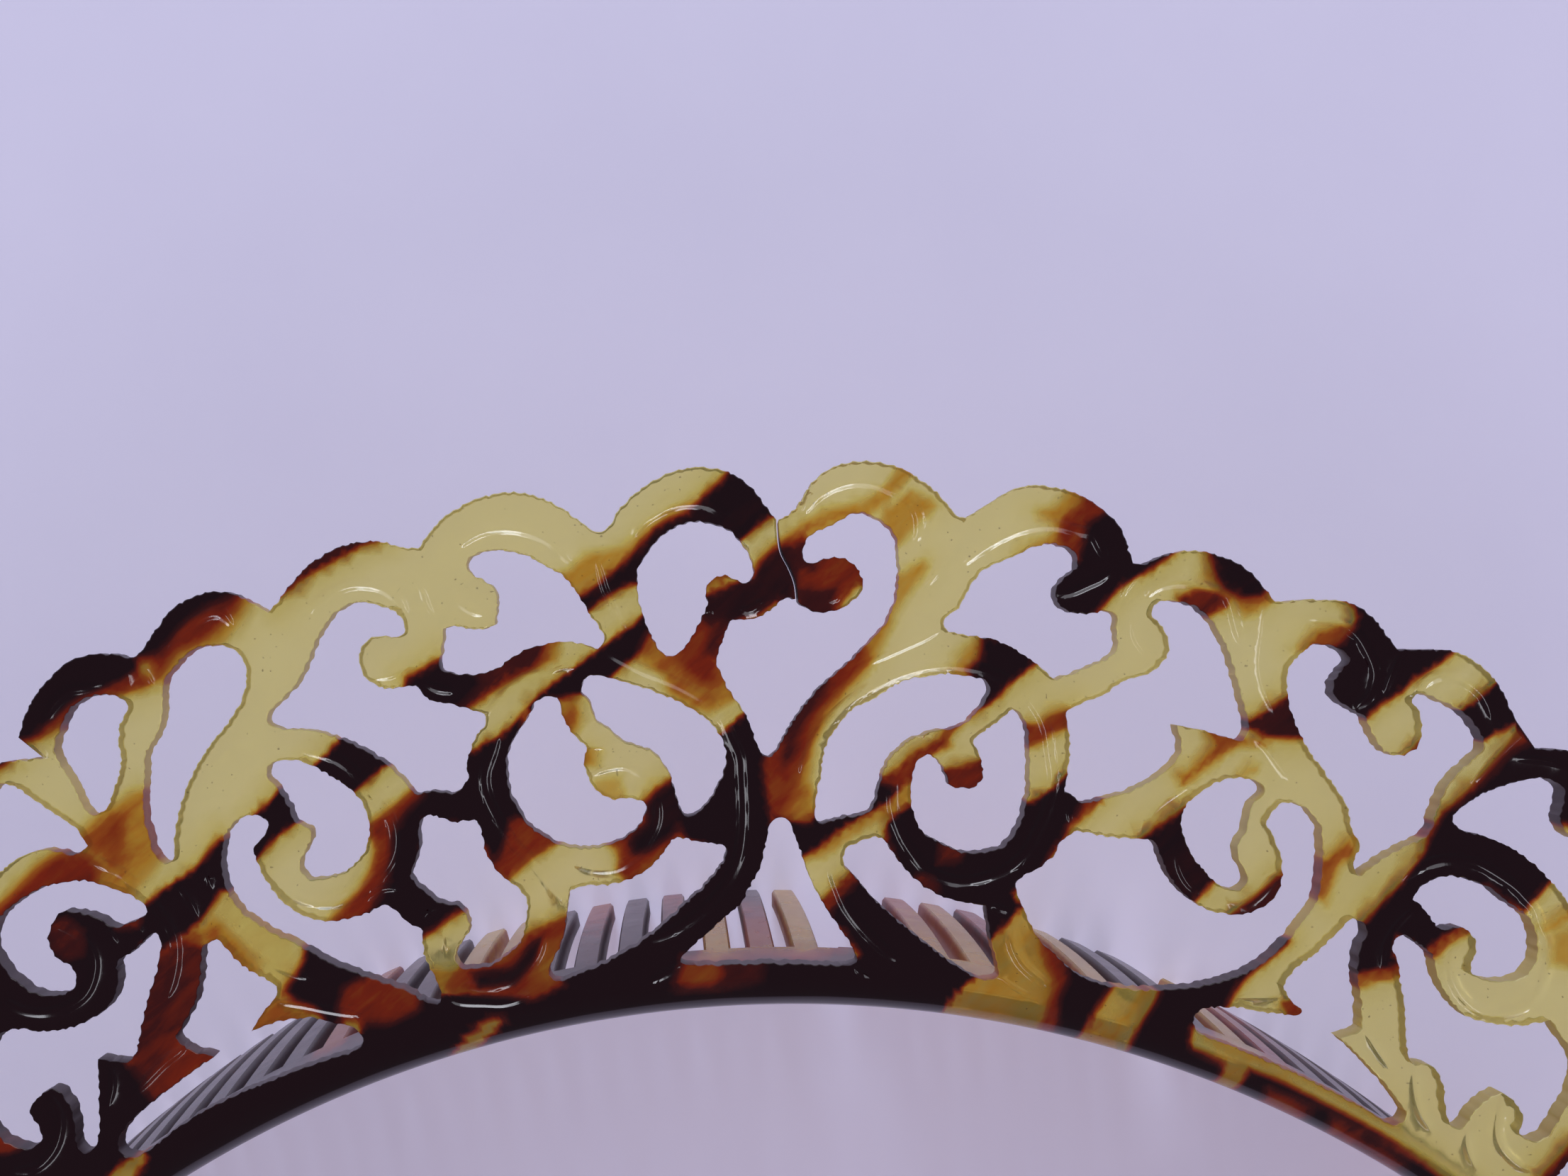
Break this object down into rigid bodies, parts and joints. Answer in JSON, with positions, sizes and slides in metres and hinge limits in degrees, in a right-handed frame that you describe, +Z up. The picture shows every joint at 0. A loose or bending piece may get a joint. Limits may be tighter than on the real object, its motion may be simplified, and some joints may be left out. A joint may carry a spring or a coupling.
{
  "type": "headband comb",
  "caption": "Arched headband comb with an openwork crest of scrolls bent at right angles to a curved row of long flat teeth.",
  "frame": {"origin": "on the surface that the tooth tips stand on, under the middle of the comb's box", "axes": "+Z up out of the openwork crest's face, +Y from the arch's open side towards the crest's top, +X along the width"},
  "size_m": [0.167, 0.0933, 0.042],
  "materials": {
    "tortoiseshell_plastic": "polished, translucent, honey amber with near-black brown clouds"
  },
  "bodies": {
    "root": {"comb": "tortoiseshell_plastic"}
  },
  "joints": []
}
